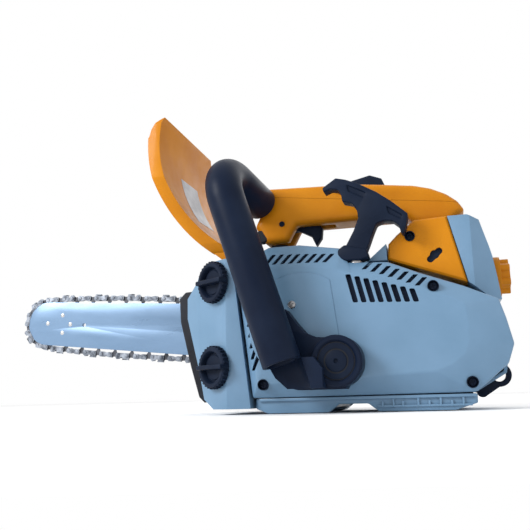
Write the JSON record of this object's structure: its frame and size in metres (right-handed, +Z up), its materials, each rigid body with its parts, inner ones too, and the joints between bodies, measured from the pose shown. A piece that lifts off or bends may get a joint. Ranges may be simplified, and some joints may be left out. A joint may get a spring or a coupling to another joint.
{
  "type": "top-handle chainsaw",
  "caption": "Compact petrol chainsaw with a top handle, bent front handle, front hand guard, pull starter and a short guide bar with chain.",
  "frame": {"origin": "on the plane the saw stands on, straight below the crankshaft's axis, midway across the top handle", "axes": "+Z up, +X to the rear (the bar points to -X), +Y to the right-hand side, where the bar and clutch are"},
  "size_m": [0.478, 0.1795, 0.2494],
  "materials": {
    "body_grey": "gloss blue-grey moulding",
    "orange": "gloss orange moulding",
    "black_plastic": "fine-grained black moulding",
    "black_rubber": "moulded rubber",
    "handle_tube": "satin black coated tube",
    "bar_steel": "pale lacquered steel",
    "chain_steel": "oiled dark steel",
    "steel": "machined steel",
    "cast_aluminium": "sand-blasted casting",
    "muffler_steel": "heat-proof paint",
    "ceramic": "glazed insulator",
    "filter_felt": "felt"
  },
  "bodies": {
    "root": {"front_housing": "body_grey", "base_tray": "body_grey", "starter_cover": "body_grey", "rope_guide": "steel", "engine_cowl": "body_grey", "right_shroud": "body_grey", "rear_housing": "orange", "top_handle": "orange", "handle_cover": "orange", "crankcase_left": "cast_aluminium", "crankcase_right": "cast_aluminium", "crank_bearings": "steel", "cylinder": "cast_aluminium", "piston": "cast_aluminium", "piston_pin": "steel", "spark_plug": "ceramic", "plug_boot": "black_rubber", "muffler": "muffler_steel", "intake_manifold": "black_plastic", "carburettor": "cast_aluminium", "air_filter": "filter_felt", "ignition_coil": "black_plastic", "spring_case": "steel", "brake_band": "steel", "oil_pump": "cast_aluminium", "guide_bar": "bar_steel", "saw_chain": "chain_steel", "clutch_cover": "black_plastic", "bar_stud": "steel", "bar_plate": "steel", "bumper_strip": "black_rubber", "front_tube": "handle_tube", "tube_bracket": "black_plastic", "vibration_mounts": "black_rubber", "guard_pins": "steel", "lever_pins": "steel", "lanyard_ring": "black_plastic", "cover_screws": "steel"},
    "crank": {"crankshaft": "steel", "flywheel": "cast_aluminium", "flywheel_nut": "steel", "clutch_shoes": "steel", "clutch_hub": "steel", "sprocket_clip": "steel"},
    "drum": {"clutch_drum": "steel", "drive_sprocket": "steel"},
    "bar_nose": {"nose_sprocket": "steel"},
    "pulley": {"starter_pulley": "black_plastic"},
    "grip": {"starter_grip": "black_plastic"},
    "guard": {"hand_guard": "orange"},
    "trigger": {"throttle_trigger": "black_plastic"},
    "lockout": {"throttle_lockout": "black_plastic"},
    "switch": {"stop_switch": "black_plastic"},
    "choke": {"choke_lever": "black_plastic"},
    "fuel_filler": {"fuel_cap": "black_plastic"},
    "oil_filler": {"oil_cap": "black_plastic"},
    "filter_lid": {"filter_cover": "body_grey"},
    "lid_knob": {"filter_knob": "orange"},
    "nut": {"bar_nut": "steel"}
  },
  "joints": [
    {"name": "crank_spin", "type": "hinge", "parent": "root", "child": "crank", "pos_m": [0, 0, 0.068], "axis": [0, 1, 0], "continuous": true},
    {"name": "drum_spin", "type": "hinge", "parent": "root", "child": "drum", "pos_m": [0, 0, 0.068], "axis": [0, 1, 0], "continuous": true},
    {"name": "bar_nose_spin", "type": "hinge", "parent": "root", "child": "bar_nose", "pos_m": [-0.28491, 0.048, 0.09293], "axis": [0, 1, 0], "continuous": true},
    {"name": "grip_pull", "type": "slide", "parent": "root", "child": "grip", "axis": [0.5, 0, 0.866], "range_m": [0, 0.6]},
    {"name": "pulley_spin", "type": "hinge", "parent": "root", "child": "pulley", "pos_m": [0, 0, 0.068], "axis": [0, 1, 0], "range_deg": [0, 1440]},
    {"name": "guard_brake", "type": "hinge", "parent": "root", "child": "guard", "pos_m": [-0.048, 0, 0.124], "axis": [0, -1, 0], "range_deg": [0, 16]},
    {"name": "trigger_pull", "type": "hinge", "parent": "root", "child": "trigger", "pos_m": [-0.018, 0, 0.159], "axis": [0, -1, 0], "range_deg": [0, 16], "stiffness_Nm_per_rad": 0.05, "springref_deg": -17.19},
    {"name": "lockout_press", "type": "hinge", "parent": "root", "child": "lockout", "pos_m": [0.034, 0, 0.181], "axis": [0, 1, 0], "range_deg": [0, 11], "stiffness_Nm_per_rad": 0.05, "springref_deg": -17.19},
    {"name": "switch_slide", "type": "slide", "parent": "root", "child": "switch", "axis": [1, 0, 0], "range_m": [0, 0.006]},
    {"name": "choke_turn", "type": "hinge", "parent": "root", "child": "choke", "pos_m": [0.1, 0, 0.128], "axis": [0, 1, 0], "range_deg": [-60, 0]},
    {"name": "fuel_cap_turn", "type": "hinge", "parent": "root", "child": "fuel_filler", "pos_m": [-0.066, -0.0468, 0.106], "axis": [-0.5446, -0.8387, 0], "continuous": true},
    {"name": "oil_cap_turn", "type": "hinge", "parent": "root", "child": "oil_filler", "pos_m": [-0.066, -0.0468, 0.037], "axis": [-0.5446, -0.8387, 0], "continuous": true},
    {"name": "filter_lid_slide", "type": "slide", "parent": "root", "child": "filter_lid", "axis": [1, 0, 0], "range_m": [0, 0.08]},
    {"name": "filter_knob_turn", "type": "hinge", "parent": "filter_lid", "child": "lid_knob", "pos_m": [0.157, 0, 0.103], "axis": [1, 0, 0], "range_deg": [0, 1080]},
    {"name": "bar_nut_turn", "type": "hinge", "parent": "root", "child": "nut", "pos_m": [-0.056, 0.069, 0.0729], "axis": [0, 1, 0], "continuous": true}
  ],
  "couplings": [
    {"joint": "pulley_spin", "follows": "grip_pull", "rad_per_m": 41.667}
  ]
}
